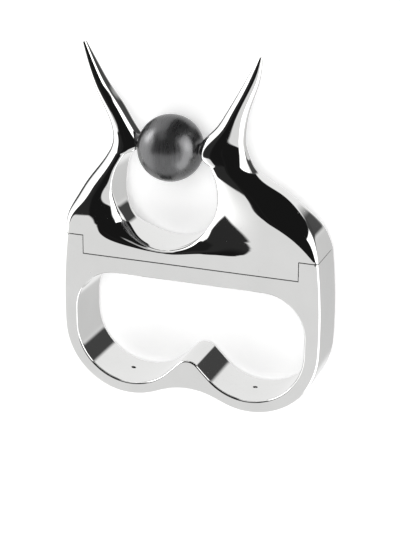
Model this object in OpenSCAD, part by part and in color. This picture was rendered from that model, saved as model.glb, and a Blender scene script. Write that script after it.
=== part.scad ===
// Two-finger horned ring, lying on its back: X runs across the fingers, Y towards the horn tips and
// Z up out of the front face. The origin is under the middle of the ring, on the surface it lies on.

/* [Band] */
// Greatest width of the band
band_w = 44.5; // [42:0.5:48]
// Depth of the band and of the crown's foot, along the fingers
depth = 9.4; // [8:0.2:11]
// Radius of each finger seat
finger_r = 9.4; // [8.6:0.1:9.8]
// Distance from the middle of the ring to the axis of each finger
finger_x = 10.3; // [10:0.1:10.8]
// Metal under each finger
floor_t = 2.1; // [1.8:0.1:2.6]
// Height of the opening's straight top above the finger axes
opening_top = 9.65; // [9.4:0.05:10]
// Radius of the opening's upper corners
corner_r = 7; // [5:0.5:8]
// Depth of the ridge's rounded top below the finger axes
ridge_y = 3.95; // [3.5:0.05:4.5]
// Depth of the dip in the underside, measured from the finger axes
dip_y = 9.05; // [8.8:0.05:9.6]
// Diameter of the small hole in each finger seat
vent_d = 0.8; // [0.4:0.1:1.2]

/* [Seam] */
// Height of the crown's tongue above the finger axes
seam_y = 12.4; // [12:0.1:13]
// Height of the two ears above the tongue
ear_h = 3.15; // [2.5:0.05:4]
// Half of the width between the two ears
tongue_x = 18.45; // [17.5:0.05:19]
// Half of the band's width at the top of the ears
shoulder_x = 21.5; // [21:0.1:22]
// Gap between the crown and the band
seam_gap = 0.12; // [0.08:0.02:0.2]

/* [Crown] */
// Radius of the round cutout
cutout_r = 9; // [8.6:0.1:9.2]
// Sideways place of the cutout and the ball
cutout_x = -4.8; // [-5.2:0.1:-4.4]
// Height of the cutout's centre above the finger axes
cutout_y = 23.77; // [23.4:0.1:24]
// Edge rounding of the crown's shoulders
edge_r = 0.6; // [0.4:0.1:0.8]

/* [Ball] */
// Radius of the ball
ball_r = 5.43; // [5.3:0.01:5.5]
// Height of the ball's centre above the finger axes
ball_y = 30.56; // [30.4:0.02:30.7]
// Gap between the ball and its seats in the horns
seat_gap = 0.08; // [0.05:0.01:0.12]
// Diameter of the pin through the ball
pin_d = 1; // [0.8:0.1:1.4]
// Depth of the pin's hole in each horn
pin_depth = 1.4; // [1:0.1:1.6]
// Gap round the pin
pin_gap = 0.05; // [0.03:0.01:0.08]

/* [Hidden] */
$fn = 96;
silver = [0.83, 0.83, 0.82];
dark_grey = [0.2, 0.2, 0.21];
half_depth = depth / 2;
tip_y = 46.75;
mid_y = (tip_y - finger_r - floor_t) / 2;
mid_z = max(ball_r, half_depth);
over = 1;

// The outer lobes share their lowest points with the floors under the fingers.
lobe_x = finger_x + 0.2;
lobe_y = 0.2;
lobe_r = finger_r + floor_t + lobe_y;
ear_y = seam_y + ear_h;
side_y = 3.6;
side_in = band_w / 2 - shoulder_x;
side_r = ((ear_y - side_y) ^ 2 + side_in ^ 2) / (2 * side_in);
// The dip is an arc that meets both lobes in a smooth line.
dip_r = (lobe_x ^ 2 + (lobe_y + dip_y) ^ 2 - lobe_r ^ 2) / (2 * (lobe_r - lobe_y - dip_y));
// The two small holes are a little left of each seat's lowest point, and behind its middle.
vent_x = [-11.9, 10];
vent_z = -1;
// The ridge has two flanks at 45 degrees, tangent to the finger seats, and a rounded top.
flank_x = finger_x - finger_r * cos(45);
flank_y = -finger_r * sin(45);
flank_top = flank_y + flank_x;
ridge_r = (flank_top + ridge_y) / (sqrt(2) - 1);
ridge_c = flank_top - ridge_r * sqrt(2);

// Each row is one section of a horn, from its tip down to the ball and from its inner to its outer edge:
// [inner x, inner y, outer x, outer y, half depth, inner roll, inner drop, outer roll, outer drop, inner bend].
// A roll is how far in from its edge a face starts to round over, and a drop is how deep it falls there. A bend
// of 2 makes the rounding an ellipse, a higher one keeps it flat for longer, and a lower one is nearer a slope.
left_horn = [
    [-19.3, 46.75, -19.9, 46.55, 0.4, 0.35, 0.37, 0.25, 0.3, 2],
    [-17.5, 43.4, -18.85, 43, 1, 0.85, 0.9, 0.55, 0.8, 3],
    [-15.4, 39.9, -17.35, 39.15, 1.5, 1.25, 1.35, 0.85, 1.2, 3],
    [-13.25, 37, -15.95, 36.35, 1.8, 1.6, 1.6, 1.15, 1.6, 3],
    [-11.65, 34.5, -14.95, 34.1, 1.95, 2, 1.7, 1.4, 1.8, 2.6],
    [-10.7, 33, -14.6, 32.6, 2.05, 2.2, 1.5, 1.7, 1.9, 2.2],
    [-10, 31.7, -14.55, 31.3, 2.2, 2.3, 1.2, 2, 2.1, 1.8],
    [-9.95, 30.3, -14.85, 30.15, 2.35, 2.1, 0.9, 2.3, 2.3, 1.6],
];
right_horn = [
    [9.7, 46.45, 10.3, 46.35, 0.35, 0.3, 0.3, 0.3, 0.3, 2],
    [7.95, 43.2, 10, 43.15, 0.8, 1.2, 0.8, 1, 0.8, 2],
    [6.3, 40.2, 9.3, 40.65, 1.15, 1.6, 1.2, 1.5, 1.2, 2],
    [4.45, 37, 8.42, 38, 1.55, 1.9, 1.6, 2.2, 1.6, 2],
    [2.75, 34.5, 7.85, 35.3, 1.95, 2.4, 1.8, 3, 1.8, 2],
    [1.25, 32.9, 7.7, 33.6, 2.2, 2.8, 1.5, 3.8, 1.9, 2],
    [0.5, 31.55, 7.75, 32.25, 2.4, 2.7, 1.1, 4.4, 2.1, 2],
    [0.7, 30.2, 8.1, 31, 2.6, 2.2, 0.8, 4.4, 2.3, 2],
];
// Round the cutout the inner edge is given by its angle:
// [angle, outer x, outer y, half depth, and the same rolls, drops and bend].
left_flank = [
    [142, -15.2, 29.35, 2.6, 1.2, 0.5, 2.4, 2.5, 2],
    [152, -15.95, 28.15, 2.9, 0.9, 0.3, 2.5, 2.8, 2],
    [163, -17.2, 26.5, 3.25, 1, 0.4, 2.8, 3.2, 2],
    [180, -19.2, 23.85, 3.75, 2, 0.8, 3, 3.6, 2],
    [195, -20.75, 21.1, 4.25, 3.8, 2, 2.8, 3.4, 1.8],
    [205, -21.55, 18.45, 4.6, 4.5, 2.8, 1.5, 1.4, 1.8],
    [211, -shoulder_x, ear_y + seam_gap, half_depth, 4.5, 3.3, edge_r, edge_r, 1.8],
];
right_flank = [
    [34, 8.5, 29.85, 2.8, 1.8, 0.5, 3.6, 2.4, 2],
    [26, 9.15, 28.8, 3.15, 2.4, 0.6, 3.4, 3, 1.9],
    [16, 10.6, 27.3, 3.6, 4, 0.9, 3.2, 3.4, 1.7],
    [2, 14, 25.4, 4.1, 7, 1.3, 4.6, 3.8, 1.5],
    [-13, 17.45, 22.7, 4.5, 10, 1.8, 6, 3.4, 1.4],
    [-24, 20.25, 19.4, 4.65, 9.2, 1.87, 4, 1.9, 1.35],
    [-31, shoulder_x, ear_y + seam_gap, half_depth, 7.3, 1.81, edge_r, edge_r, 1.35],
];
// The foot follows the seam from the left ear to the right ear, in straight stretches:
// [angle, outer x, outer y, inner roll, inner drop, inner bend].
foot = [
    [213, edge_r - shoulder_x, ear_y + seam_gap, 4.5, 3.38, 1.82],
    [218, seam_gap - tongue_x, ear_y + seam_gap, 4.2, 3.5, 1.9],
    [226, seam_gap - tongue_x, seam_y + seam_gap, 3.2, 3.3, 2],
    [241, -13.5, seam_y + seam_gap, 1.6, 2, 2.1],
    [255, -9, seam_y + seam_gap, 0.8, 1.4, 2],
    [270, cutout_x, seam_y + seam_gap, 0.6, 1.2, 2],
    [285, 3, seam_y + seam_gap, 0.8, 1.2, 1.9],
    [298, 10, seam_y + seam_gap, 1.3, 1.32, 1.7],
    [307, 14.5, seam_y + seam_gap, 2.1, 1.46, 1.57],
    [314, tongue_x - seam_gap, seam_y + seam_gap, 3.2, 1.59, 1.48],
    [322, tongue_x - seam_gap, ear_y + seam_gap, 5.1, 1.71, 1.42],
    [327, shoulder_x - edge_r, ear_y + seam_gap, 6.7, 1.78, 1.38],
];
ellipse_bend = 2;
horn_steps = 3;
flank_steps = 3;
foot_steps = [1, 1, 3, 4, 3, 3, 3, 3, 2, 3, 1];
roll_steps = 4;
top_steps = 5;
thin_edge = 0.03;
// The rounding is measured across its section on the horns and straight out from the cutout at the foot.
// Down each flank the one passes over into the other between these two angles.
left_lean = [163, 205];
right_lean = [16, -24];

function reversed(list) = [for (i = [len(list) - 1:-1:0]) list[i]];

function limited(value, low, high) = min(max(value, low), high);

function rim(angle) = [cutout_x + cutout_r * cos(angle), cutout_y + cutout_r * sin(angle)];

// Value of a smooth curve through the rows of a table, at a place given in rows.
function along(rows, place) =
    let (
        last = len(rows) - 1,
        i = min(floor(place), last - 1),
        t = place - i,
        a = rows[i],
        b = rows[i + 1],
        slope_a = i == 0 ? b - a : (b - rows[i - 1]) / 2,
        slope_b = i == last - 1 ? b - a : (rows[i + 2] - a) / 2
    )
    (2 * t ^ 3 - 3 * t ^ 2 + 1) * a + (t ^ 3 - 2 * t ^ 2 + t) * slope_a
        + (3 * t ^ 2 - 2 * t ^ 3) * b + (t ^ 3 - t ^ 2) * slope_b;

// A flank row with its angle turned into the inner point.
function placed(row) = concat(rim(row[0]), [for (i = [1:8]) row[i]]);

function lean_at(angle, ends) =
    let (t = limited((angle - ends[0]) / (ends[1] - ends[0]), 0, 1))
    t * t * (3 - 2 * t);

function arm(horn, flank, lean_ends) =
    let (
        rows = concat(horn, [for (row = flank) placed(row)]),
        inner_rows = concat(horn, [placed(flank[0])]),
        horn_end = len(horn),
        horn_count = horn_end * horn_steps
    )
    concat(
        [for (k = [0:horn_count - 1])
            let (place = k / horn_steps, inner = along(inner_rows, place), row = along(rows, place))
            concat([inner[0], inner[1]], [for (i = [2:9]) row[i]], [0])],
        [for (k = [0:(len(flank) - 1) * flank_steps])
            let (place = k / flank_steps, angle = along(flank, place)[0], row = along(rows, horn_end + place))
            concat(rim(angle), [for (i = [2:9]) row[i]], [lean_at(angle, lean_ends)])]
    );

// A foot row as a full section: its outer edge is the seam's lip, which stays sharp.
function seated(row) =
    concat(rim(row[0]), [row[1], row[2], half_depth, row[3], row[4], 0, 0, row[5], 1]);

foot_sections = [
    for (i = [0:len(foot) - 2])
        for (k = [0:foot_steps[i] - 1])
            let (t = k / foot_steps[i])
            seated((1 - t) * foot[i] + t * foot[i + 1]),
    seated(foot[len(foot) - 1]),
];
sections = concat(
    arm(left_horn, left_flank, left_lean), foot_sections, reversed(arm(right_horn, right_flank, right_lean))
);

// The inner edge all the way round the cutout: [angle, inner roll, inner drop, inner bend].
edge_rows = concat(
    [for (row = left_flank) [row[0], row[4], row[5], row[8]]],
    [for (row = foot) [row[0], row[3], row[4], row[5]]],
    [for (row = reversed(right_flank)) [row[0] + 360, row[4], row[5], row[8]]]
);
edge_places = [for (i = [0:len(edge_rows) - 1]) [edge_rows[i][0], i]];

// How far the top lies below its full height at a distance from an edge.
function sink(out, roll, drop, bend) =
    drop * (1 - (1 - limited(1 - out / roll, 0, 1) ^ bend) ^ (1 / bend));

function sink_round_cutout(point) =
    let (
        reach = point - [cutout_x, cutout_y],
        turned = (atan2(reach[1], reach[0]) + 270) % 360 + 90,
        edge = along(edge_rows, lookup(turned, edge_places))
    )
    sink(max(norm(reach) - cutout_r, 0), edge[1], edge[2], edge[3]);

// One closed ring of points round a section, its front half first.
function ring(row) =
    let (
        inner = [row[0], row[1]],
        span = [row[2], row[3]] - inner,
        width = norm(span),
        h = row[4],
        in_roll = limited(row[5], thin_edge, width),
        out_roll = limited(row[7], thin_edge, width),
        in_drop = min(row[6], h - thin_edge),
        out_drop = min(row[8], h - thin_edge),
        lean = row[10],
        near = min(in_roll, width / 2),
        far = min(out_roll, width / 2),
        outs = concat(
            [for (k = [0:roll_steps]) near * (1 - cos(90 * k / roll_steps))],
            [for (k = [1:top_steps - 1]) near + (width - far - near) * k / top_steps],
            [for (k = [0:roll_steps]) width - far * (1 - sin(90 * k / roll_steps))]
        ),
        half = [for (out = outs)
            let (
                across = sink(out, in_roll, in_drop, row[9]),
                round_cutout = lean > 0 ? sink_round_cutout(inner + span * out / width) : 0,
                inner_sink = (1 - lean) * across + lean * round_cutout,
                outer_sink = sink(width - out, out_roll, out_drop, ellipse_bend)
            )
            [out, max(h - inner_sink - outer_sink, thin_edge)]],
        loop = concat(half, [for (p = reversed(half)) [p[0], -p[1]]])
    )
    [for (p = loop) concat(inner + span * p[0] / width, [p[1]])];

module crown_body() {
    size = 2 * (2 * roll_steps + top_steps + 1);
    rows = len(sections);
    points = [for (row = sections) each ring(row)];
    walls = [
        for (s = [0:rows - 2])
            for (k = [0:size - 1])
                let (a = s * size + k, b = s * size + (k + 1) % size)
                each [[a, b, b + size], [a, b + size, a + size]],
    ];
    caps = [[for (k = [size - 1:-1:0]) k], [for (k = [0:size - 1]) (rows - 1) * size + k]];
    polyhedron(points, concat(walls, caps), convexity = 10);
}

module band_outline() {
    intersection() {
        translate([band_w / 2 - side_r, side_y]) circle(side_r, $fn = 720);
        translate([side_r - band_w / 2, side_y]) circle(side_r, $fn = 720);
        translate([-band_w, lobe_y]) square([2 * band_w, ear_y - lobe_y]);
    }
    for (side = [-1, 1])
        translate([side * lobe_x, lobe_y]) circle(lobe_r, $fn = 180);
    difference() {
        polygon([[-lobe_x, lobe_y], [0, -dip_y - dip_r], [lobe_x, lobe_y]]);
        translate([0, -dip_y - dip_r]) circle(dip_r, $fn = 180);
    }
}

module opening() {
    half_w = finger_x + finger_r;
    corner_x = half_w - corner_r;
    corner_y = opening_top - corner_r;
    for (side = [-1, 1]) {
        translate([side * finger_x, 0]) circle(finger_r, $fn = 180);
        translate([side * corner_x, corner_y]) circle(corner_r, $fn = 180);
    }
    translate([-corner_x, 0]) square([2 * corner_x, opening_top]);
    translate([-half_w, 0]) square([2 * half_w, corner_y]);
    difference() {
        polygon([
            [-finger_x, 0],
            [-flank_x, flank_y],
            [-ridge_r * sin(45), ridge_c + ridge_r * cos(45)],
            [0, ridge_c],
            [ridge_r * sin(45), ridge_c + ridge_r * cos(45)],
            [flank_x, flank_y],
            [finger_x, 0],
        ]);
        translate([0, ridge_c]) circle(ridge_r, $fn = 180);
    }
}

module tongue_gap() {
    translate([-tongue_x, seam_y]) square([2 * tongue_x, ear_h + over]);
}

module band() {
    color(silver)
        translate([0, -mid_y, mid_z])
            difference() {
                translate([0, 0, -half_depth])
                    linear_extrude(depth)
                        difference() {
                            band_outline();
                            opening();
                            tongue_gap();
                        }
                for (x = vent_x)
                    translate([x, -finger_r + over, vent_z])
                        rotate([90, 0, 0]) cylinder(d = vent_d, h = floor_t + 2 * over, $fn = 24);
            }
}

module pin_bar(diameter, reach) {
    rotate([0, 90, 0]) cylinder(d = diameter, h = 2 * reach, center = true, $fn = 32);
}

module crown() {
    color(silver)
        translate([0, -mid_y, mid_z])
            difference() {
                crown_body();
                translate([cutout_x, ball_y, 0]) {
                    sphere(ball_r + seat_gap);
                    pin_bar(pin_d + 2 * pin_gap, ball_r + pin_depth);
                }
            }
}

module ball() {
    color(dark_grey)
        translate([cutout_x, ball_y - mid_y, mid_z])
            difference() {
                sphere(ball_r);
                pin_bar(pin_d + 2 * pin_gap, ball_r + over);
            }
}

module pin() {
    color(silver)
        translate([cutout_x, ball_y - mid_y, mid_z])
            pin_bar(pin_d, ball_r + pin_depth - pin_gap);
}

band();
crown();
ball();
pin();
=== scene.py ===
"""A silver ring for two neighbouring fingers, lying on its back on a white table.

Lengths in the tables are millimetres, measured from the middle between the two finger axes. X runs across the
fingers, Y towards the horn tips and Z up out of the front face. The meshes are in metres, in the row frame.
"""
import math

import bmesh
import bpy
import numpy as np
from mathutils import Matrix, Vector


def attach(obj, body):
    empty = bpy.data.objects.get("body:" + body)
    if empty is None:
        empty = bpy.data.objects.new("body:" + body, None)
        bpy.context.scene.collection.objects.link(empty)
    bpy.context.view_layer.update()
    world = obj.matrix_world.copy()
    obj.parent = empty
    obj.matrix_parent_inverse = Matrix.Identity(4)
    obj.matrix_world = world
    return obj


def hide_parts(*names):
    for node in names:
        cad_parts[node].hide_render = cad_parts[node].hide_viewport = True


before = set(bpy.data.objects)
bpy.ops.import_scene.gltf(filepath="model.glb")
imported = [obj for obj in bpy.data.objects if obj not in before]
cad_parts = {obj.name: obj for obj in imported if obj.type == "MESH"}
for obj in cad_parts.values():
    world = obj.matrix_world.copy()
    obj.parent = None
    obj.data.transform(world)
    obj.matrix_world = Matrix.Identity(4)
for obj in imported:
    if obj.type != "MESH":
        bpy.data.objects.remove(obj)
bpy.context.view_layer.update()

MM = 0.001

# The band, its two finger seats, and the opening that they share with the ridge between them.
BAND_WIDTH = 44.5
HALF_DEPTH = 4.7
SEAT_RADIUS = 9.4
SEAT_X = 10.3
FLOOR_THICKNESS = 2.1
OPENING_TOP = 9.65
CORNER_RADIUS = 7
RIDGE_TOP = -3.95
# The dip in the underside, between the two lobes.
DIP_TOP = -9.05
# A lobe's circle is moved this far outwards and up from its seat's, and its radius is this much larger.
LOBE_SHIFT = 0.2
# The heights at which a side stands furthest out, and at which it runs into its lobe.
SIDE_MIDDLE = 3.6
LOBE_MEET_Y = 0.45
# The stepped seam, where the crown's tongue sits between the band's two ears.
SHOULDER_X = 21.5
EAR_TOP = 15.55
TONGUE_X = 18.45
SEAM_Y = 12.4
SEAM_GAP = 0.12
# The crown's round cutout, the top of its left tip, and the ball with its seat and its pin's bore.
CUTOUT_RADIUS = 9
CUTOUT_X = -4.8
CUTOUT_Y = 23.77
TIP_Y = 46.75
BALL_RADIUS = 5.43
BALL_CENTRE = (CUTOUT_X, 30.56, 0)
SEAT_GAP = 0.08
PIN_BORE_RADIUS = 0.55
PIN_BORE_REACH = 6.83
# The casting vents, one through the floor of each finger seat.
VENT_XS = (-11.9, 10)
VENT_Y = -SEAT_RADIUS - 1
VENT_Z = -1
VENT_RADIUS = 0.4
VENT_REACH = 2.5
# The row frame's origin, seen from the middle between the finger axes.
ORIGIN = np.array([0, (TIP_Y - SEAT_RADIUS - FLOOR_THICKNESS) / 2, -BALL_RADIUS])

# Polished edges: the band's outer corners, the opening's rims and the two lips of the seam.
OUTER_FILLET = 0.55
RIM_FILLET = 0.3
SEAM_FILLET = 0.05

# How finely the meshes are drawn. An outline has a point every so many millimetres.
POINT_STEP = 0.25
FILLET_STEPS = 10
WALL_STEPS = 18
SEAM_POINTS = 60
SMOOTHING_ROUNDS = 30
VENT_SIDES = 32
BORE_SIDES = 48
SEAT_SUBDIVISIONS = 6
BALL_SUBDIVISIONS = 7
# Points nearer together than the first are merged, and edges shorter than the second are taken out.
MERGE_DISTANCE = 0.0005
SHORTEST_EDGE = 0.0002
# An edge that turns by more degrees than this stays sharp.
CREASE = 40


def in_frame(points):
    """Points given in millimetres from the middle between the finger axes, in metres in the row frame."""
    return (np.asarray(points, float) - ORIGIN) * MM


def linked(name, data):
    """A new object in the scene, for a mesh, a light or a camera."""
    made = bpy.data.objects.new(name, data)
    bpy.context.scene.collection.objects.link(made)
    return made


def mesh_piece(name, points, faces, open_along):
    """A new piece from points in millimetres. Its doubled points are merged, the openings left at both its
    ends along one axis, 0 for X and 2 for Z, are filled, and its faces are turned outwards."""
    mesh = bpy.data.meshes.new(name)
    placed = in_frame(points)
    mesh.from_pydata(placed.tolist(), [], faces)
    middle = placed[:, open_along].mean()
    form = bmesh.new()
    form.from_mesh(mesh)
    bmesh.ops.remove_doubles(form, verts=form.verts, dist=MERGE_DISTANCE * MM)
    bmesh.ops.dissolve_degenerate(form, edges=form.edges, dist=SHORTEST_EDGE * MM)
    rims = [edge for edge in form.edges if edge.is_boundary]
    for side in (-1, 1):
        end = [edge for edge in rims if side * (edge.verts[0].co[open_along] - middle) > 0]
        bmesh.ops.triangle_fill(form, edges=end, use_beauty=True)
    bmesh.ops.recalc_face_normals(form, faces=form.faces)
    form.to_mesh(mesh)
    form.free()
    return linked(name, mesh)


def settle(piece):
    """Turns what a piece's modifiers make into its plain mesh and removes them."""
    graph = bpy.context.evaluated_depsgraph_get()
    mesh = bpy.data.meshes.new_from_object(piece.evaluated_get(graph), depsgraph=graph)
    old = piece.data
    piece.modifiers.clear()
    piece.data = mesh
    mesh.name = old.name
    bpy.data.meshes.remove(old)


def cut_away(piece, cutters):
    """Cuts each cutter out of a piece and removes the cutters."""
    for cutter in cutters:
        cut = piece.modifiers.new("cut", "BOOLEAN")
        cut.operation = "DIFFERENCE"
        cut.solver = "EXACT"
        cut.object = cutter
    settle(piece)
    for cutter in cutters:
        bpy.data.objects.remove(cutter)


def polish_shading(piece):
    """Smooth shading that stays flat on flat faces and breaks only at edges sharper than the crease."""
    piece.data.shade_smooth()
    piece.data.set_sharp_from_angle(angle=math.radians(CREASE))
    weighted = piece.modifiers.new("weighted", "WEIGHTED_NORMAL")
    weighted.mode = "FACE_AREA"
    # The strongest weight, so that the largest faces at a point set its shading.
    weighted.weight = 100
    weighted.keep_sharp = True
    settle(piece)


def cutter_from(name, form):
    """A new object from an edited form, which is freed."""
    mesh = bpy.data.meshes.new(name)
    form.to_mesh(mesh)
    form.free()
    return linked(name, mesh)


def round_bar(name, centre, axis, radius, reach, sides):
    """A plain round cutter, which reaches equally far to both sides of its centre."""
    form = bmesh.new()
    turn = Vector(axis).to_track_quat("Z", "Y").to_matrix().to_4x4()
    place = Matrix.Translation(Vector(in_frame(centre))) @ turn
    size = radius * MM
    bmesh.ops.create_cone(
        form, cap_ends=True, segments=sides, radius1=size, radius2=size, depth=2 * reach * MM, matrix=place
    )
    return cutter_from(name, form)


def ball_seat():
    """A cutter for the round hollow in which the horns grip the ball."""
    form = bmesh.new()
    place = Matrix.Translation(Vector(in_frame(BALL_CENTRE)))
    radius = (BALL_RADIUS + SEAT_GAP) * MM
    bmesh.ops.create_icosphere(form, subdivisions=SEAT_SUBDIVISIONS, radius=radius, matrix=place)
    return cutter_from("seat", form)


def arc(centre, radius, start, stop):
    """Points along an arc, from one angle to another in degrees, without its last point."""
    count = max(int(abs(math.radians(stop - start)) * radius / POINT_STEP), 2)
    angles = np.radians(np.linspace(start, stop, count, endpoint=False))
    return np.stack([centre[0] + radius * np.cos(angles), centre[1] + radius * np.sin(angles)], axis=1)


def straight(start, stop):
    """Points along a straight line, without its last point."""
    start, stop = np.array(start, float), np.array(stop, float)
    count = max(int(np.linalg.norm(stop - start) / POINT_STEP), 1)
    return start + (stop - start) * np.linspace(0, 1, count, endpoint=False)[:, None]


def natural_curve(places, rows, wanted):
    """Rows read off the smooth natural cubic curve that passes through the given rows at their places."""
    places, rows, wanted = np.asarray(places, float), np.asarray(rows, float), np.asarray(wanted, float)
    step = np.diff(places)
    slope = np.diff(rows, axis=0) / step[:, None]
    system = np.eye(len(places))
    right = np.zeros_like(rows)
    for i in range(1, len(places) - 1):
        system[i, i - 1 : i + 2] = step[i - 1], 2 * (step[i - 1] + step[i]), step[i]
        right[i] = 6 * (slope[i] - slope[i - 1])
    bend = np.linalg.solve(system, right)
    i = np.clip(np.searchsorted(places, wanted, side="right") - 1, 0, len(places) - 2)
    t = (wanted - places[i])[:, None]
    h = step[i][:, None]
    first = slope[i] - h * (2 * bend[i] + bend[i + 1]) / 6
    return rows[i] + t * first + t**2 * bend[i] / 2 + t**3 * (bend[i + 1] - bend[i]) / (6 * h)


def band_side():
    """The band's sides and underside, from the left ear round to the right ear, as one smooth line."""
    side_in = BAND_WIDTH / 2 - SHOULDER_X
    side_radius = ((EAR_TOP - SIDE_MIDDLE) ** 2 + side_in**2) / (2 * side_in)
    side_centre = np.array([side_radius - BAND_WIDTH / 2, SIDE_MIDDLE])
    lobe_centre = np.array([-SEAT_X - LOBE_SHIFT, LOBE_SHIFT])
    lobe_radius = SEAT_RADIUS + FLOOR_THICKNESS + LOBE_SHIFT
    lobe_drop = LOBE_SHIFT - DIP_TOP
    dip_radius = (lobe_centre[0] ** 2 + lobe_drop**2 - lobe_radius**2) / (2 * (lobe_radius - lobe_drop))
    dip_centre = np.array([0, DIP_TOP - dip_radius])
    ear_angle = 180 - math.degrees(math.asin((EAR_TOP - SIDE_MIDDLE) / side_radius))
    meet_angle = 180 + math.degrees(math.asin((SIDE_MIDDLE - LOBE_MEET_Y) / side_radius))
    lobe_start = 180 - math.degrees(math.asin((LOBE_MEET_Y - LOBE_SHIFT) / lobe_radius))
    dip_angle = math.degrees(math.atan2(dip_centre[1] - lobe_centre[1], dip_centre[0] - lobe_centre[0]))
    left = np.concatenate(
        [
            arc(side_centre, side_radius, ear_angle, meet_angle),
            arc(lobe_centre, lobe_radius, lobe_start, 360 + dip_angle),
            arc(dip_centre, dip_radius, 180 + dip_angle, 90),
        ]
    )
    whole = np.concatenate([left, [[0, DIP_TOP]], (left * [-1, 1])[::-1]])
    # A light smoothing takes out the faint corner where a side runs into its lobe.
    for _ in range(SMOOTHING_ROUNDS):
        whole[1:-1] += (whole[:-2] + whole[2:] - 2 * whole[1:-1]) / 4
    return whole


def band_opening():
    """The opening's edge: two finger seats, the ridge between them, the walls and the rounded top."""
    half = math.sqrt(0.5)
    wall_x = SEAT_X + SEAT_RADIUS
    corner_x, corner_y = wall_x - CORNER_RADIUS, OPENING_TOP - CORNER_RADIUS
    flank = np.array([SEAT_X - SEAT_RADIUS * half, -SEAT_RADIUS * half])
    ridge_radius = (flank.sum() - RIDGE_TOP) / (math.sqrt(2) - 1)
    ridge_y = flank.sum() - ridge_radius * math.sqrt(2)
    crest = np.array([ridge_radius * half, ridge_y + ridge_radius * half])
    return np.concatenate(
        [
            straight((wall_x, 0), (wall_x, corner_y)),
            arc((corner_x, corner_y), CORNER_RADIUS, 0, 90),
            straight((corner_x, OPENING_TOP), (-corner_x, OPENING_TOP)),
            arc((-corner_x, corner_y), CORNER_RADIUS, 90, 180),
            straight((-wall_x, corner_y), (-wall_x, 0)),
            arc((-SEAT_X, 0), SEAT_RADIUS, 180, 315),
            straight(flank * [-1, 1], crest * [-1, 1]),
            arc((0, ridge_y), ridge_radius, 135, 45),
            straight(crest, flank),
            arc((SEAT_X, 0), SEAT_RADIUS, 225, 360),
        ]
    )


def inward(points):
    """Unit vectors square to a closed line of points, to the left of its direction."""
    along = np.roll(points, -1, axis=0) - np.roll(points, 1, axis=0)
    along /= np.linalg.norm(along, axis=1)[:, None]
    return np.stack([-along[:, 1], along[:, 0]], axis=1)


def filleted_wall(outline, inset, drop):
    """A closed wall over an outline, rounded into both faces. Each point has its own inset and drop."""
    turns = np.radians(np.linspace(0, 90, FILLET_STEPS + 1))
    upper = [(outline + inset * (1 - math.cos(t)), HALF_DEPTH - drop * (1 - math.sin(t))) for t in turns]
    levels = [(xy, z) for xy, z in reversed(upper)]
    for k in range(1, WALL_STEPS):
        levels.append((outline, (HALF_DEPTH - drop) * (1 - 2 * k / WALL_STEPS)))
    levels += [(xy, -z) for xy, z in upper]
    points = np.concatenate([np.column_stack([xy, z]) for xy, z in levels])
    count = len(outline)
    faces = []
    for level in range(len(levels) - 1):
        for i in range(count):
            j = (i + 1) % count
            a, b = level * count + i, level * count + j
            faces.append((a, b, b + count, a + count))
    return points, faces


def make_band():
    """The flat-faced double finger frame, with its polished edges and its two casting vents."""
    side = band_side()
    side_inset = inward(side) * OUTER_FILLET
    side_inset[0] = [OUTER_FILLET, -SEAM_FILLET]
    side_inset[-1] = [-OUTER_FILLET, -SEAM_FILLET]
    # The seam runs down from the right ear, along the tongue and up to the left ear. Each point comes with
    # the way in which its fillet moves it.
    ear_in = SHOULDER_X - OUTER_FILLET
    seam = [
        ((ear_in, EAR_TOP), (0, -1)),
        ((TONGUE_X, EAR_TOP), (1, -1)),
        ((TONGUE_X, SEAM_Y), (1, -1)),
        *[((x, SEAM_Y), (0, -1)) for x in np.linspace(TONGUE_X, -TONGUE_X, SEAM_POINTS)[1:-1]],
        ((-TONGUE_X, SEAM_Y), (-1, -1)),
        ((-TONGUE_X, EAR_TOP), (-1, -1)),
        ((-ear_in, EAR_TOP), (0, -1)),
    ]
    seam_points = np.array([point for point, _ in seam], float)
    seam_inset = np.array([inset for _, inset in seam], float) * SEAM_FILLET
    outline = np.concatenate([side, seam_points])
    inset = np.concatenate([side_inset, seam_inset])
    drop = np.concatenate([np.full(len(side), OUTER_FILLET), np.full(len(seam), SEAM_FILLET)])
    outer_points, outer_faces = filleted_wall(outline, inset, drop)
    opening = band_opening()
    rim_drop = np.full(len(opening), RIM_FILLET)
    inner_points, inner_faces = filleted_wall(opening, -inward(opening) * RIM_FILLET, rim_drop)
    shift = len(outer_points)
    inner_faces = [tuple(i + shift for i in reversed(face)) for face in inner_faces]
    points = np.concatenate([outer_points, inner_points])
    band = mesh_piece("silver_band", points, outer_faces + inner_faces, open_along=2)
    vents = []
    for x in VENT_XS:
        vents.append(round_bar("vent", (x, VENT_Y, VENT_Z), (0, 1, 0), VENT_RADIUS, VENT_REACH, VENT_SIDES))
    cut_away(band, vents)
    polish_shading(band)
    return band


# Where the crown's edges along the seam lie, a gap away from the band's, and how its shoulders are rounded.
SHOULDER_Y = EAR_TOP + SEAM_GAP
TONGUE_SIDE = TONGUE_X - SEAM_GAP
TONGUE_FOOT = SEAM_Y + SEAM_GAP
EDGE_ROUNDING = 0.6
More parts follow.
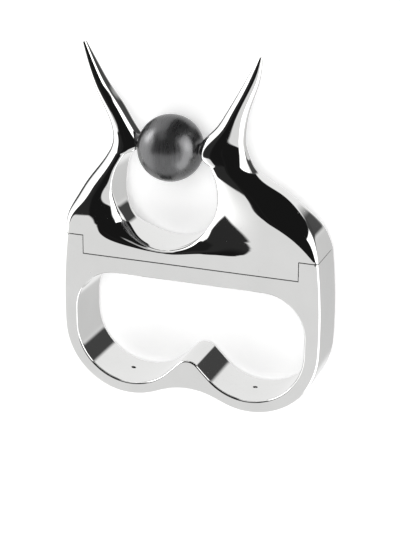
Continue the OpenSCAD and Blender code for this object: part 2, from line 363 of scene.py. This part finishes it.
# Each row is one section across a horn, from the tip down: inner x, inner y, outer x, outer y, half depth,
# then inner roll, inner drop, outer roll, outer drop, inner bend. A roll is how far from its edge a face
# starts to round over and a drop is how deep it falls there. A bend of 2 is an ellipse, a higher one stays
# flat for longer and a lower one is nearer to a slope.
LEFT_HORN = [
    (-19.3, TIP_Y, -19.9, 46.55, 0.4, 0.35, 0.37, 0.25, 0.3, 2),
    (-17.5, 43.4, -18.85, 43, 1, 0.85, 0.9, 0.55, 0.8, 3),
    (-15.4, 39.9, -17.35, 39.15, 1.5, 1.25, 1.35, 0.85, 1.2, 3),
    (-13.25, 37, -15.95, 36.35, 1.8, 1.6, 1.6, 1.15, 1.6, 3),
    (-11.65, 34.5, -14.95, 34.1, 1.95, 2, 1.7, 1.4, 1.8, 2.6),
    (-10.7, 33, -14.6, 32.6, 2.05, 2.2, 1.5, 1.7, 1.9, 2.2),
    (-10, 31.7, -14.55, 31.3, 2.2, 2.3, 1.2, 2, 2.1, 1.8),
    (-9.95, 30.3, -14.85, 30.15, 2.35, 2.1, 0.9, 2.3, 2.3, 1.6),
]
RIGHT_HORN = [
    (9.7, 46.45, 10.3, 46.35, 0.35, 0.3, 0.3, 0.3, 0.3, 2),
    (7.95, 43.2, 10, 43.15, 0.8, 1.2, 0.8, 1, 0.8, 2),
    (6.3, 40.2, 9.3, 40.65, 1.15, 1.6, 1.2, 1.5, 1.2, 2),
    (4.45, 37, 8.42, 38, 1.55, 1.9, 1.6, 2.2, 1.6, 2),
    (2.75, 34.5, 7.85, 35.3, 1.95, 2.4, 1.8, 3, 1.8, 2),
    (1.25, 32.9, 7.7, 33.6, 2.2, 2.8, 1.5, 3.8, 1.9, 2),
    (0.5, 31.55, 7.75, 32.25, 2.4, 2.7, 1.1, 4.4, 2.1, 2),
    (0.7, 30.2, 8.1, 31, 2.6, 2.2, 0.8, 4.4, 2.3, 2),
]
# Round the cutout the inner edge is given by its angle: angle, outer x, outer y, half depth, then the same
# rolls, drops and bend.
LEFT_FLANK = [
    (142, -15.2, 29.35, 2.6, 1.2, 0.5, 2.4, 2.5, 2),
    (152, -15.95, 28.15, 2.9, 0.9, 0.3, 2.5, 2.8, 2),
    (163, -17.2, 26.5, 3.25, 1, 0.4, 2.8, 3.2, 2),
    (180, -19.2, 23.85, 3.75, 2, 0.8, 3, 3.6, 2),
    (195, -20.75, 21.1, 4.25, 3.8, 2, 2.8, 3.4, 1.8),
    (205, -21.55, 18.45, 4.6, 4.5, 2.8, 1.5, 1.4, 1.8),
    (211, -SHOULDER_X, SHOULDER_Y, HALF_DEPTH, 4.5, 3.3, EDGE_ROUNDING, EDGE_ROUNDING, 1.8),
]
RIGHT_FLANK = [
    (34, 8.5, 29.85, 2.8, 1.8, 0.5, 3.6, 2.4, 2),
    (26, 9.15, 28.8, 3.15, 2.4, 0.6, 3.4, 3, 1.9),
    (16, 10.6, 27.3, 3.6, 4, 0.9, 3.2, 3.4, 1.7),
    (2, 14, 25.4, 4.1, 7, 1.3, 4.6, 3.8, 1.5),
    (-13, 17.45, 22.7, 4.5, 10, 1.8, 6, 3.4, 1.4),
    (-24, 20.25, 19.4, 4.65, 9.2, 1.87, 4, 1.9, 1.35),
    (-31, SHOULDER_X, SHOULDER_Y, HALF_DEPTH, 7.3, 1.81, EDGE_ROUNDING, EDGE_ROUNDING, 1.35),
]
# Along the seam: angle, outer x, outer y, inner roll, inner drop, inner bend.
FOOT = [
    (213, EDGE_ROUNDING - SHOULDER_X, SHOULDER_Y, 4.5, 3.38, 1.82),
    (218, -TONGUE_SIDE, SHOULDER_Y, 4.2, 3.5, 1.9),
    (226, -TONGUE_SIDE, TONGUE_FOOT, 3.2, 3.3, 2),
    (241, -13.5, TONGUE_FOOT, 1.6, 2, 2.1),
    (255, -9, TONGUE_FOOT, 0.8, 1.4, 2),
    (270, CUTOUT_X, TONGUE_FOOT, 0.6, 1.2, 2),
    (285, 3, TONGUE_FOOT, 0.8, 1.2, 1.9),
    (298, 10, TONGUE_FOOT, 1.3, 1.32, 1.7),
    (307, 14.5, TONGUE_FOOT, 2.1, 1.46, 1.57),
    (314, TONGUE_SIDE, TONGUE_FOOT, 3.2, 1.59, 1.48),
    (322, TONGUE_SIDE, SHOULDER_Y, 5.1, 1.71, 1.42),
    (327, SHOULDER_X - EDGE_ROUNDING, SHOULDER_Y, 6.7, 1.78, 1.38),
]
# The columns of a full row, in the order of the horns' rows.
ROW_LENGTH = 10
INNER_POINT = slice(0, 2)
OUTER_POINT = slice(2, 4)
DEPTH, INNER_ROLL, INNER_DROP, OUTER_ROLL, OUTER_DROP, INNER_BEND = range(4, ROW_LENGTH)
INNER_COLUMNS = [INNER_ROLL, INNER_DROP, INNER_BEND]
OUTER_COLUMNS = [OUTER_ROLL, OUTER_DROP]
ELLIPSE_BEND = 2
BEND_LIMITS = (1, 4)
# No half section gets thinner than this, and no roll is shorter.
THIN_EDGE = 0.03
# A point nearer than this to the cutout's circle counts as lying on it.
ON_EDGE = 1e-6
# The inner rounding is measured across a horn, but straight out from the cutout at the foot. Down each flank
# the one passes over into the other between these angles.
LEFT_LEAN = (163, 205)
RIGHT_LEAN = (16, -24)
# How finely the crown is drawn: the millimetres between its sections, then the steps over each rounding,
# across the face between the roundings and down a wall.
SECTION_STEP = 0.22
ROLL_STEPS = 20
FLAT_STEPS = 12
CROWN_WALL_STEPS = 8


def cutout_edge(angles):
    """Points on the round cutout's edge at the given angles."""
    turned = np.radians(angles)
    x, y = CUTOUT_X + CUTOUT_RADIUS * np.cos(turned), CUTOUT_Y + CUTOUT_RADIUS * np.sin(turned)
    return np.stack([x, y], axis=1)


def path_length(points):
    """Distance along a line of points, at each point."""
    return np.concatenate([[0], np.cumsum(np.linalg.norm(np.diff(points, axis=0), axis=1))])


def arm(horn, flank):
    """Sections down one horn and its flank, with the distance down the inner edge at each, and then the full
    rows that they pass through, with theirs."""
    horn, flank = np.array(horn, float), np.array(flank, float)
    rows = np.concatenate([horn, np.column_stack([cutout_edge(flank[:, 0]), flank[:, 1:]])])
    places = path_length((rows[:, INNER_POINT] + rows[:, OUTER_POINT]) / 2)
    turn = len(horn)
    horn_at = np.linspace(0, places[turn], int(places[turn] / SECTION_STEP), endpoint=False)
    flank_at = np.linspace(places[turn], places[-1], int((places[-1] - places[turn]) / SECTION_STEP))
    at = np.concatenate([horn_at, flank_at])
    horn_inner = natural_curve(places[: turn + 1], rows[: turn + 1, INNER_POINT], horn_at)
    angles = natural_curve(places[turn:], flank[:, 0:1], flank_at)[:, 0]
    inner = np.concatenate([horn_inner, cutout_edge(angles)])
    down = path_length(inner)
    sections = np.column_stack([inner, natural_curve(places, rows[:, 2:], at)])
    return sections, down, rows, np.interp(places, at, down)


def lean_between(angles, ends):
    """Rises smoothly from 0 to 1 between two angles."""
    t = np.clip((angles - ends[0]) / (ends[1] - ends[0]), 0, 1)
    return t * t * (3 - 2 * t)


def crown_sections():
    """All sections from the left tip to the right tip. With them comes how far each section's inner rounding
    is measured straight out from the round cutout, and the curve for what belongs to the inner edge."""
    left, right, foot = np.array(LEFT_FLANK, float), np.array(RIGHT_FLANK, float), np.array(FOOT, float)
    left_arm, left_down, left_rows, left_places = arm(LEFT_HORN, LEFT_FLANK)
    right_arm, right_down, right_rows, right_places = arm(RIGHT_HORN, RIGHT_FLANK)
    # The foot's corners are kept sharp: its outer points run straight from row to row.
    angles, outer = [], []
    for a, b in zip(foot[:-1], foot[1:]):
        count = max(int(np.linalg.norm(b[1:3] - a[1:3]) / SECTION_STEP), 2)
        for t in np.linspace(0, 1, count, endpoint=False):
            angles.append((1 - t) * a[0] + t * b[0])
            outer.append((1 - t) * a[1:3] + t * b[1:3])
    angles = np.array([*angles, foot[-1, 0]])
    outer = np.array([*outer, foot[-1, 1:3]])
    foot_part = np.zeros((len(angles), ROW_LENGTH))
    foot_part[:, INNER_POINT] = cutout_edge(angles)
    foot_part[:, OUTER_POINT] = outer
    foot_part[:, DEPTH] = HALF_DEPTH
    foot_part[:, OUTER_COLUMNS] = SEAM_FILLET
    # What belongs to the inner edge follows one curve from the left tip, round the cutout, to the right tip.
    start, per_degree = left_down[-1], math.radians(CUTOUT_RADIUS)
    whole = start + (right[-1, 0] + 360 - left[-1, 0]) * per_degree + right_down[-1]
    row_places = [left_places, start + (foot[:, 0] - left[-1, 0]) * per_degree, (whole - right_places)[::-1]]
    row_values = [left_rows[:, INNER_COLUMNS], foot[:, 3:], right_rows[::-1, INNER_COLUMNS]]
    row_places, row_values = np.concatenate(row_places), np.concatenate(row_values)

    def edge_at(turned):
        """The inner edge's values at angles round the cutout."""
        places = start + (turned.ravel() - left[-1, 0]) * per_degree
        return natural_curve(row_places, row_values, places).reshape(turned.shape + (len(INNER_COLUMNS),))

    wanted = [left_down, start + (angles - left[-1, 0]) * per_degree, (whole - right_down)[::-1]]
    sections = np.concatenate([left_arm, foot_part, right_arm[::-1]])
    sections[:, INNER_COLUMNS] = natural_curve(row_places, row_values, np.concatenate(wanted))
    reach = sections[:, INNER_POINT] - [CUTOUT_X, CUTOUT_Y]
    turned = np.degrees(np.arctan2(reach[:, 1], reach[:, 0]))
    on_edge = np.abs(np.hypot(reach[:, 0], reach[:, 1]) - CUTOUT_RADIUS) < ON_EDGE
    lean = np.ones(len(sections))
    lean[: len(left_arm)] = lean_between(turned[: len(left_arm)] % 360, LEFT_LEAN)
    lean[-len(right_arm) :] = lean_between(turned[-len(right_arm) :], RIGHT_LEAN)
    return sections, np.where(on_edge, lean, 0), edge_at


def sink(out, roll, drop, bend):
    """How far the face lies below its full height at a distance from an edge."""
    return drop * (1 - (1 - np.clip(1 - out / roll, 0, 1) ** bend) ** (1 / bend))


def section_loop(row, lean, edge_at):
    """One closed loop of points round a section, its front half first."""
    inner, outer, depth = row[INNER_POINT], row[OUTER_POINT], row[DEPTH]
    width = np.linalg.norm(outer - inner)
    along = (outer - inner) / width
    in_roll, out_roll = np.clip(row[[INNER_ROLL, OUTER_ROLL]], THIN_EDGE, width)
    in_drop, out_drop = np.clip(row[[INNER_DROP, OUTER_DROP]], 0, depth - THIN_EDGE)
    turns = np.radians(np.linspace(0, 90, ROLL_STEPS + 1))
    near, far = min(in_roll, width / 2), min(out_roll, width / 2)
    across = np.linspace(near, width - far, FLAT_STEPS + 1)[1:-1]
    out = np.concatenate([near * (1 - np.cos(turns)), across, width - far * (1 - np.sin(turns))])
    inner_fall = sink(out, in_roll, in_drop, row[INNER_BEND])
    if lean > 0:
        reach = inner + out[:, None] * along - [CUTOUT_X, CUTOUT_Y]
        # Angles run from the left flank round the foot, so they go on past 360 at the right.
        turned = np.degrees(np.arctan2(reach[:, 1], reach[:, 0])) % 360
        roll, drop, bend = edge_at(np.where(turned < 90, turned + 360, turned)).T
        from_edge = np.maximum(np.hypot(reach[:, 0], reach[:, 1]) - CUTOUT_RADIUS, 0)
        round_fall = sink(from_edge, np.maximum(roll, THIN_EDGE), drop, np.clip(bend, *BEND_LIMITS))
        inner_fall = (1 - lean) * inner_fall + lean * np.minimum(round_fall, depth - THIN_EDGE)
    outer_fall = sink(width - out, out_roll, out_drop, ELLIPSE_BEND)
    half = np.column_stack([out, np.maximum(depth - inner_fall - outer_fall, THIN_EDGE)])
    inner_wall = np.linspace(-half[0, 1], half[0, 1], CROWN_WALL_STEPS + 1)[1:-1]
    outer_wall = np.linspace(half[-1, 1], -half[-1, 1], CROWN_WALL_STEPS + 1)[1:-1]
    loop = np.concatenate(
        [
            half,
            np.column_stack([np.full(len(outer_wall), width), outer_wall]),
            half[::-1] * [1, -1],
            np.column_stack([np.zeros(len(inner_wall)), inner_wall]),
        ]
    )
    return np.column_stack([inner + loop[:, :1] * along, loop[:, 1]])


def make_crown():
    """The piece with the round cutout and the two horns, hollowed for the ball and bored for its pin."""
    sections, leans, edge_at = crown_sections()
    loops = [section_loop(row, lean, edge_at) for row, lean in zip(sections, leans)]
    size = len(loops[0])
    faces = []
    for s in range(len(loops) - 1):
        for k in range(size):
            a, b = s * size + k, s * size + (k + 1) % size
            faces.append((a, b, b + size, a + size))
    crown = mesh_piece("silver_crown", np.concatenate(loops), faces, open_along=0)
    seat = ball_seat()
    bore = round_bar("bore", BALL_CENTRE, (1, 0, 0), PIN_BORE_RADIUS, PIN_BORE_REACH, BORE_SIDES)
    cut_away(crown, [seat, bore])
    polish_shading(crown)
    return crown


def add(tree, kind, settings, sockets):
    """Adds one node. A socket's value is a plain value, or another node's output to link."""
    made = tree.nodes.new(kind)
    for name, value in settings.items():
        setattr(made, name, value)
    for name, value in sockets.items():
        if isinstance(value, bpy.types.NodeSocket):
            tree.links.new(value, made.inputs[name])
        else:
            made.inputs[name].default_value = value
    return made


def bare_tree(owner):
    """The node tree of a new material or world, emptied."""
    owner.use_nodes = True
    owner.node_tree.nodes.clear()
    return owner.node_tree


def from_hex(code):
    """Linear colour of an sRGB hex value."""
    parts = [int(code[i : i + 2], 16) / 255 for i in (1, 3, 5)]
    return tuple(c / 12.92 if c <= 0.04045 else ((c + 0.055) / 1.055) ** 2.4 for c in parts) + (1.0,)


# The ball's swells are about 4 mm wide, which is 260 to the metre, and 0.004 mm high. The bar that bores it
# is this many times its radius long.
SWELLS_PER_METRE = 260.0
SWELL_HEIGHT = 0.004
BORE_BAR_LENGTH = 2.2


def ball_tree():
    """A round pearl with a bore for the pin, built from named sizes."""
    tree = bpy.data.node_groups.new("pearl_ball", "GeometryNodeTree")
    face = tree.interface
    for name, kind, value in (
        ("Radius", "NodeSocketFloat", BALL_RADIUS * MM),
        ("Bore Radius", "NodeSocketFloat", PIN_BORE_RADIUS * MM),
        ("Unevenness", "NodeSocketFloat", SWELL_HEIGHT * MM),
        ("Seed", "NodeSocketFloat", 7.0),
        ("Place", "NodeSocketVector", (0.0, 0.0, 0.0)),
        ("Material", "NodeSocketMaterial", None),
    ):
        made = face.new_socket(name=name, in_out="INPUT", socket_type=kind)
        if value is not None:
            made.default_value = value
    face.new_socket(name="Geometry", in_out="OUTPUT", socket_type="NodeSocketGeometry")
    given = tree.nodes.new("NodeGroupInput").outputs
    round_size = {"Radius": given["Radius"], "Subdivisions": BALL_SUBDIVISIONS}
    round_form = add(tree, "GeometryNodeMeshIcoSphere", {}, round_size)
    where = add(tree, "GeometryNodeInputPosition", {}, {})
    facing = add(tree, "GeometryNodeInputNormal", {}, {})
    swell = add(
        tree,
        "ShaderNodeTexNoise",
        {"noise_dimensions": "4D"},
        {"Vector": where.outputs[0], "W": given["Seed"], "Scale": SWELLS_PER_METRE, "Detail": 2.0},
    )
    # The noise lies between 0 and 1. With half taken off, the swells go in as far as they go out.
    centred = add(tree, "ShaderNodeMath", {"operation": "SUBTRACT"}, {0: swell.outputs[0], 1: 0.5})
    height = add(
        tree, "ShaderNodeMath", {"operation": "MULTIPLY"}, {0: centred.outputs[0], 1: given["Unevenness"]}
    )
    push = add(
        tree,
        "ShaderNodeVectorMath",
        {"operation": "SCALE"},
        {0: facing.outputs[0], "Scale": height.outputs[0]},
    )
    uneven = add(
        tree, "GeometryNodeSetPosition", {}, {"Geometry": round_form.outputs[0], "Offset": push.outputs[0]}
    )
    bar_length = BORE_BAR_LENGTH * BALL_RADIUS * MM
    bar = add(
        tree,
        "GeometryNodeMeshCylinder",
        {},
        {"Vertices": BORE_SIDES, "Radius": given["Bore Radius"], "Depth": bar_length},
    )
    turned = add(
        tree,
        "GeometryNodeTransform",
        {},
        {"Geometry": bar.outputs[0], "Rotation": (0.0, math.radians(90), 0.0)},
    )
    bored = add(
        tree,
        "GeometryNodeMeshBoolean",
        {"operation": "DIFFERENCE"},
        {"Mesh 1": uneven.outputs[0], "Mesh 2": turned.outputs[0]},
    )
    moved = add(
        tree, "GeometryNodeTransform", {}, {"Geometry": bored.outputs[0], "Translation": given["Place"]}
    )
    soft = add(tree, "GeometryNodeSetShadeSmooth", {}, {"Geometry": moved.outputs[0]})
    whole = add(tree, "GeometryNodeRealizeInstances", {}, {"Geometry": soft.outputs[0]})
    dressed = add(
        tree, "GeometryNodeSetMaterial", {}, {"Geometry": whole.outputs[0], "Material": given["Material"]}
    )
    add(tree, "NodeGroupOutput", {}, {"Geometry": dressed.outputs[0]})
    return tree


def make_ball(material):
    """The dark ball between the horns, with the bore that takes the pin."""
    ball = linked("dark_pearl_ball", bpy.data.meshes.new("dark_pearl_ball"))
    tree = ball_tree()
    ids = {item.name: item.identifier for item in tree.interface.items_tree if item.in_out == "INPUT"}
    maker = ball.modifiers.new("maker", "NODES")
    maker.node_group = tree
    maker[ids["Place"]] = tuple(in_frame(BALL_CENTRE))
    maker[ids["Material"]] = material
    settle(ball)
    ball.data.set_sharp_from_angle(angle=math.radians(CREASE))
    return ball


def per_mm(size):
    """A pattern's scale in Object coordinates, from the size of its features in millimetres."""
    return 1 / (size * MM)


# A Mix node's sockets for its two colours and for the one that it gives.
FIRST_COLOUR, SECOND_COLOUR, MIXED_COLOUR = 6, 7, 2
# The marks in the silver, in millimetres: the size of the tarnish clouds, the width, length and depth of the
# buffing lines and the two ways that they run in degrees, the size of the cells that hold the pits, a pit's
# radius as a share of its cell, the random value from which a cell has a pit, and how much rougher a pit is.
TARNISH_SIZE = 7
BUFFING_SIZE = (0.16, 6, 0.8)
BUFFING_TURNS = (24, -52)
PIT_CELL = 1.3
PIT_RADIUS = 0.07
PIT_FROM = 0.6
PIT_ROUGHNESS = 0.3
# The dullest places are this many times as rough as the best polished ones.
DULLEST = 2.2
# The pearl's streaks, in millimetres: their width, length and depth, the size of the slow noise that bends
# them, how far at most it does, and the depth of their relief.
STREAK_SIZE = (0.35, 4, 1.2)
SWAY_SIZE = 5
SWAY = 1.5
STREAK_RELIEF = 0.0015


def polished_silver(name, clean, tarnished, roughness, hairline_depth):
    """Sterling silver, cast, filed and buffed on a wheel with rouge. To the eye it is a neutral mirror with a
    trace of tarnish in clouds, hair-fine buffing lines in two directions and a few casting pits."""
    made = bpy.data.materials.new(name)
    tree = bare_tree(made)
    place = add(tree, "ShaderNodeTexCoord", {}, {}).outputs["Object"]
    # Tarnish gathers in clouds.
    cloud_look = {"Vector": place, "Scale": per_mm(TARNISH_SIZE), "Detail": 3.0}
    cloud = add(tree, "ShaderNodeTexNoise", {}, cloud_look)
    colour = add(
        tree,
        "ShaderNodeMix",
        {"data_type": "RGBA"},
        {
            "Factor": cloud.outputs[0],
            FIRST_COLOUR: from_hex(clean),
            SECOND_COLOUR: from_hex(tarnished),
        },
    )
    # Buffing lines are about 0.02 mm wide. Here they are 0.16 mm, which is as fine as the picture shows.
    lines = []
    for turn in BUFFING_TURNS:
        turned = add(
            tree,
            "ShaderNodeMapping",
            {},
            {
                "Vector": place,
                "Rotation": (0.0, 0.0, math.radians(turn)),
                "Scale": tuple(per_mm(size) for size in BUFFING_SIZE),
            },
        )
        lines.append(
            add(tree, "ShaderNodeTexNoise", {}, {"Vector": turned.outputs[0], "Scale": 1.0, "Detail": 2.0})
        )
    hairlines = add(
        tree, "ShaderNodeMath", {"operation": "ADD"}, {0: lines[0].outputs[0], 1: lines[1].outputs[0]}
    )
    # Casting pits are 0.05 mm across. Here they are 0.18 mm, so that they show. About one cell in three has
    # one, and it opens where the surface cuts it.
    cells = add(tree, "ShaderNodeTexVoronoi", {}, {"Vector": place, "Scale": per_mm(PIT_CELL)})
    near = add(
        tree, "ShaderNodeMath", {"operation": "LESS_THAN"}, {0: cells.outputs["Distance"], 1: PIT_RADIUS}
    )
    chosen = add(
        tree, "ShaderNodeMath", {"operation": "GREATER_THAN"}, {0: cells.outputs["Color"], 1: PIT_FROM}
    )
    pits = add(tree, "ShaderNodeMath", {"operation": "MULTIPLY"}, {0: near.outputs[0], 1: chosen.outputs[0]})
    # The wheel leaves some places a little duller than others, and the pits are matt. The two sets of lines
    # add up to between 0.7 and 1.4 nearly everywhere.
    worn = add(
        tree,
        "ShaderNodeMapRange",
        {},
        {
            "Value": hairlines.outputs[0],
            "From Min": 0.7,
            "From Max": 1.4,
            "To Min": roughness,
            "To Max": roughness * DULLEST,
        },
    )
    rough = add(
        tree,
        "ShaderNodeMath",
        {"operation": "MULTIPLY_ADD"},
        {0: pits.outputs[0], 1: PIT_ROUGHNESS, 2: worn.outputs[0]},
    )
    relief = add(
        tree,
        "ShaderNodeBump",
        {},
        {"Height": hairlines.outputs[0], "Strength": 1.0, "Distance": hairline_depth * MM},
    )
    shader = add(
        tree,
        "ShaderNodeBsdfPrincipled",
        {},
        {
            "Base Color": colour.outputs[MIXED_COLOUR],
            "Metallic": 1.0,
            "Roughness": rough.outputs[0],
            "Normal": relief.outputs[0],
        },
    )
    add(tree, "ShaderNodeOutputMaterial", {}, {"Surface": shader.outputs[0]})
    return made


def satin_pearl():
    """A dark grey cultured pearl, tumbled to a satin lustre. Its layers of nacre give the eye a soft metallic
    shine with faint streaks that wander across it."""
    made = bpy.data.materials.new("dark_satin_pearl")
    tree = bare_tree(made)
    place = add(tree, "ShaderNodeTexCoord", {}, {}).outputs["Object"]
    # A slow noise bends the streaks.
    sway = add(tree, "ShaderNodeTexNoise", {}, {"Vector": place, "Scale": per_mm(SWAY_SIZE), "Detail": 1.0})
    bent = add(
        tree,
        "ShaderNodeVectorMath",
        {"operation": "MULTIPLY_ADD"},
        {0: sway.outputs["Color"], 1: (SWAY * MM, SWAY * MM, SWAY * MM), 2: place},
    )
    turned = add(
        tree,
        "ShaderNodeMapping",
        {},
        {
            "Vector": bent.outputs[0],
            "Rotation": (0.0, math.radians(30), math.radians(-28)),
            "Scale": tuple(per_mm(size) for size in STREAK_SIZE),
        },
    )
    streaks = add(tree, "ShaderNodeTexNoise", {}, {"Vector": turned.outputs[0], "Scale": 1.0, "Detail": 3.0})
    colour = add(
        tree,
        "ShaderNodeMix",
        {"data_type": "RGBA"},
        {
            "Factor": streaks.outputs[0],
            FIRST_COLOUR: from_hex("#5e5e5f"),
            SECOND_COLOUR: from_hex("#767677"),
        },
    )
    # The noise of the streaks lies between 0.3 and 0.7 nearly everywhere.
    rough = add(
        tree,
        "ShaderNodeMapRange",
        {},
        {"Value": streaks.outputs[0], "From Min": 0.3, "From Max": 0.7, "To Min": 0.24, "To Max": 0.34},
    )
    relief = add(
        tree,
        "ShaderNodeBump",
        {},
        {"Height": streaks.outputs[0], "Strength": 1.0, "Distance": STREAK_RELIEF * MM},
    )
    shader = add(
        tree,
        "ShaderNodeBsdfPrincipled",
        {},
        {
            "Base Color": colour.outputs[MIXED_COLOUR],
            "Metallic": 0.9,
            "Roughness": rough.outputs[0],
            "Normal": relief.outputs[0],
        },
    )
    add(tree, "ShaderNodeOutputMaterial", {}, {"Surface": shader.outputs[0]})
    return made


# The crown is buffed a little brighter than the band. The buffing lines' depth in millimetres comes last.
crown_silver = polished_silver("mirror_buffed_silver", "#f3f3f2", "#e8e8e7", 0.025, 0.0002)
band_silver = polished_silver("buffed_silver", "#f2f2f1", "#e6e6e5", 0.045, 0.0002)
pearl = satin_pearl()

band = make_band()
band.data.materials.append(band_silver)
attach(band, "root")
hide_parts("band")

crown = make_crown()
crown.data.materials.append(crown_silver)
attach(crown, "root")
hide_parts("crown")

ball = make_ball(pearl)
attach(ball, "root")
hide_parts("ball")

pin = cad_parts["pin"]
pin.data.materials.clear()
pin.data.materials.append(band_silver)

# The table's half width is in metres. The table is hidden from the silver, which mirrors the cards instead.
TABLE_REACH = 3.0
TABLE_GLOW = 0.3


def opal_acrylic():
    """Opal acrylic sheet, cast, and lit a little from below. To the eye it is an even white on which shadows
    stay faint."""
    made = bpy.data.materials.new("white_acrylic")
    made.use_nodes = True
    finish = made.node_tree.nodes["Principled BSDF"].inputs
    finish["Base Color"].default_value = from_hex("#f4f4f4")
    finish["Emission Color"].default_value = from_hex("#ffffff")
    finish["Emission Strength"].default_value = TABLE_GLOW
    return made


table_mesh = bpy.data.meshes.new("white_table")
corners = [(x * TABLE_REACH, y * TABLE_REACH, 0) for x, y in ((-1, -1), (1, -1), (1, 1), (-1, 1))]
table_mesh.from_pydata(corners, [], [(0, 1, 2, 3)])
table_mesh.materials.append(opal_acrylic())
table = linked("white_table", table_mesh)
table.visible_glossy = False


def card_sides(start, stop):
    """The two upright planes between which a card stands, given by their compass angles in degrees."""
    a, b = math.radians(start), math.radians(stop)
    return [(-math.sin(a), math.cos(a), 0, 0), (math.sin(b), -math.cos(b), 0, 0)]


# The studio round the ring, as the mirror sees it: each card's name, colour and strength, how softly it ends,
# and the planes that bound it. A direction lies on the card where its product with each plane's x, y and z is
# more than the plane's limit. A later card hangs in front of an earlier one. Right is +X, far is +Y, behind
# the horns, and high is +Z. Only the softboxes and the strips are brighter than plain white. The strips are
# there for the ball.
ROOM = "#f6f6f6"
CARDS = [
    ("near wall", "#e6e6e6", 1, 0.15, [(0, -1, 0, 0.1), (0, 0, 1, -0.1)]),
    ("right softbox", "#fdfdfd", 2.4, 0.06, [(1, 0, 0, 0.45), (-0.25, 0, -1, -0.7), (0, 0, 1, -0.3)]),
    ("left softbox", "#fdfdfd", 1.6, 0.2, [(-1, 0, 0, 0.6), (0, 0, -1, -0.8), (0, 0, 1, -0.3)]),
    ("left strip", "#ffffff", 6, 0.08, [*card_sides(138, 168), (0, 0, 1, 0.02), (0, 0, -1, -0.34)]),
    ("right strip", "#ffffff", 4, 0.08, [*card_sides(0, 26), (0, 0, 1, 0.02), (0, 0, -1, -0.3)]),
    ("high far flag", "#181818", 1, 0.03, [(0, 1, 0.42, 0.245), (1, 0.35, 0, -0.5), (0, 0, 1, 0.56)]),
    ("tall far flag", "#181818", 1, 0.03, [*card_sides(43, 98), (0, 0, 1, -0.78)]),
    ("low near card", "#d2d2d2", 1, 0.1, [*card_sides(-85, 5), (0, 0, -1, 0.7)]),
    ("low right flag", "#464646", 1, 0.04, [*card_sides(6, 45), (0, 0, -1, 0.5), (0, 0, 1, -0.95)]),
    ("far left flag", "#1e1e1e", 1, 0.03, [*card_sides(124, 142), (0, 0, 1, 0.25)]),
    ("far grey card", "#bebebe", 1, 0.04, [*card_sides(98, 122), (0, 0, 1, 0.25), (0, 0, -1, -0.72)]),
    ("high left flag", "#2c2c2c", 1, 0.02, [*card_sides(142, 197), (0, 0, 1, 0.64), (0, 0, -1, -0.92)]),
    ("low left flag", "#303030", 1, 0.04, [*card_sides(150, 225), (0, 0, -1, 0.5), (0, 0, 1, -0.8)]),
]


def studio():
    """The room with its white, grey and black cards, as light that comes from far away."""
    made = bpy.data.worlds.new("studio")
    tree = bare_tree(made)
    direction = add(tree, "ShaderNodeTexCoord", {}, {}).outputs["Generated"]
    colour = from_hex(ROOM)
    for name, code, strength, softness, planes in CARDS:
        mask = None
        for *plane, limit in planes:
            dot = add(
                tree, "ShaderNodeVectorMath", {"operation": "DOT_PRODUCT"}, {0: direction, 1: tuple(plane)}
            )
            side = add(
                tree,
                "ShaderNodeMapRange",
                {"interpolation_type": "SMOOTHSTEP"},
                {"Value": dot.outputs["Value"], "From Min": limit - softness, "From Max": limit + softness},
            )
            if mask is None:
                mask = side
            else:
                both = {0: mask.outputs[0], 1: side.outputs[0]}
                mask = add(tree, "ShaderNodeMath", {"operation": "MULTIPLY"}, both)
        glow = [part * strength for part in from_hex(code)[:3]] + [1.0]
        card = add(
            tree,
            "ShaderNodeMix",
            {"data_type": "RGBA", "label": name},
            {"Factor": mask.outputs[0], FIRST_COLOUR: colour, SECOND_COLOUR: glow},
        )
        colour = card.outputs[MIXED_COLOUR]
    shine = add(tree, "ShaderNodeBackground", {}, {"Color": colour})
    add(tree, "ShaderNodeOutputWorld", {}, {"Surface": shine.outputs[0]})
    return made


bpy.context.scene.world = studio()

# The lamp hangs high over the ring, behind the horns and a little to the right, and faces the ring's middle.
# Its size and place are in metres and its power is in watts. It is hidden from the silver, as the table is.
LAMP_SIZE = 0.6
LAMP_POWER = 4.0
LAMP_PLACE = (0.1, 0.25, 0.8)
lamp = bpy.data.lights.new("table_light", "AREA")
lamp.shape = "DISK"
lamp.size = LAMP_SIZE
lamp.energy = LAMP_POWER
table_light = linked("table_light", lamp)
table_light.location = LAMP_PLACE
table_light.rotation_euler = Vector(LAMP_PLACE).to_track_quat("Z", "Y").to_euler()
table_light.visible_glossy = False

# The camera looks down on the front face at the photograph's angle. These are its place in millimetres in the
# row frame, the directions to its right and to its back, and its lens and sensor in millimetres.
CAMERA_PLACE = (78.941, 76.601, 222.326)
CAMERA_RIGHT = (0.939079, 0.008771, -0.343590)
CAMERA_BACK = (0.320388, 0.339568, 0.884333)
CAMERA_LENS = 101.12
SENSOR_WIDTH = 36
# The camera sees nothing nearer than this many metres.
NEAREST = 0.01
scene = bpy.context.scene
scene.view_settings.view_transform = "Standard"
camera_data = bpy.data.cameras.new("camera")
camera = linked("camera", camera_data)
back = Vector(CAMERA_BACK).normalized()
up = back.cross(Vector(CAMERA_RIGHT).normalized()).normalized()
turn = Matrix((up.cross(back), up, back)).transposed().to_4x4()
camera.matrix_world = Matrix.Translation(Vector(CAMERA_PLACE) * MM) @ turn
camera_data.lens = CAMERA_LENS
camera_data.sensor_width = SENSOR_WIDTH
camera_data.clip_start = NEAREST
scene.camera = camera
